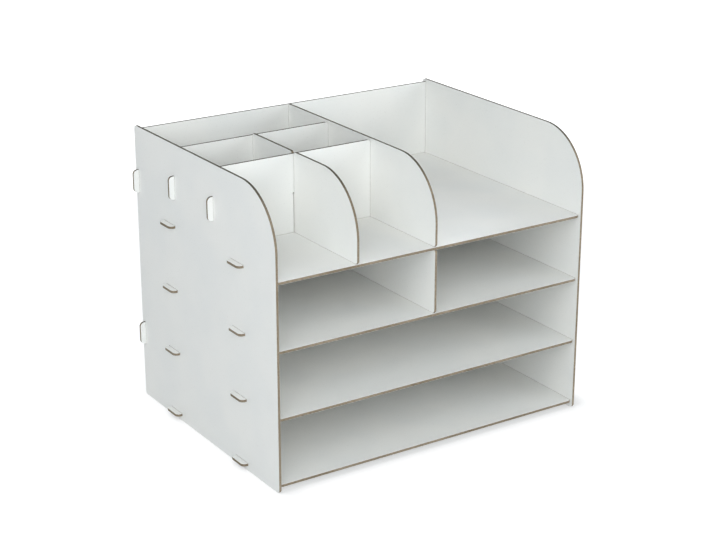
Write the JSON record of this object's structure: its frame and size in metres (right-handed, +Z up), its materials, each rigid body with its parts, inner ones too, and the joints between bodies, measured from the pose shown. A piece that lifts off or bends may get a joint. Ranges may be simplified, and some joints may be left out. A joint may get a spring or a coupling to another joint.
{
  "type": "desk organizer",
  "caption": "Desk organizer of slotted board: open bays and shelves below, divided trays and pen bays above, with curved side fronts.",
  "frame": {"origin": "middle of the outer box, on the surface that the organizer stands on", "axes": "+X to the right as seen from the open front, +Y to the rear, +Z up"},
  "size_m": [0.341, 0.255, 0.272],
  "materials": {
    "white_faced_mdf": "white melamine faces, bare brown cut edges"
  },
  "bodies": {
    "root": {"left_side_panel": "white_faced_mdf", "right_side_panel": "white_faced_mdf", "back_panel": "white_faced_mdf", "bottom_panel": "white_faced_mdf", "lower_shelf": "white_faced_mdf", "middle_shelf": "white_faced_mdf", "upper_shelf": "white_faced_mdf", "lower_divider": "white_faced_mdf", "main_divider": "white_faced_mdf", "small_divider": "white_faced_mdf", "front_cross_divider": "white_faced_mdf", "rear_cross_divider": "white_faced_mdf"}
  },
  "joints": []
}
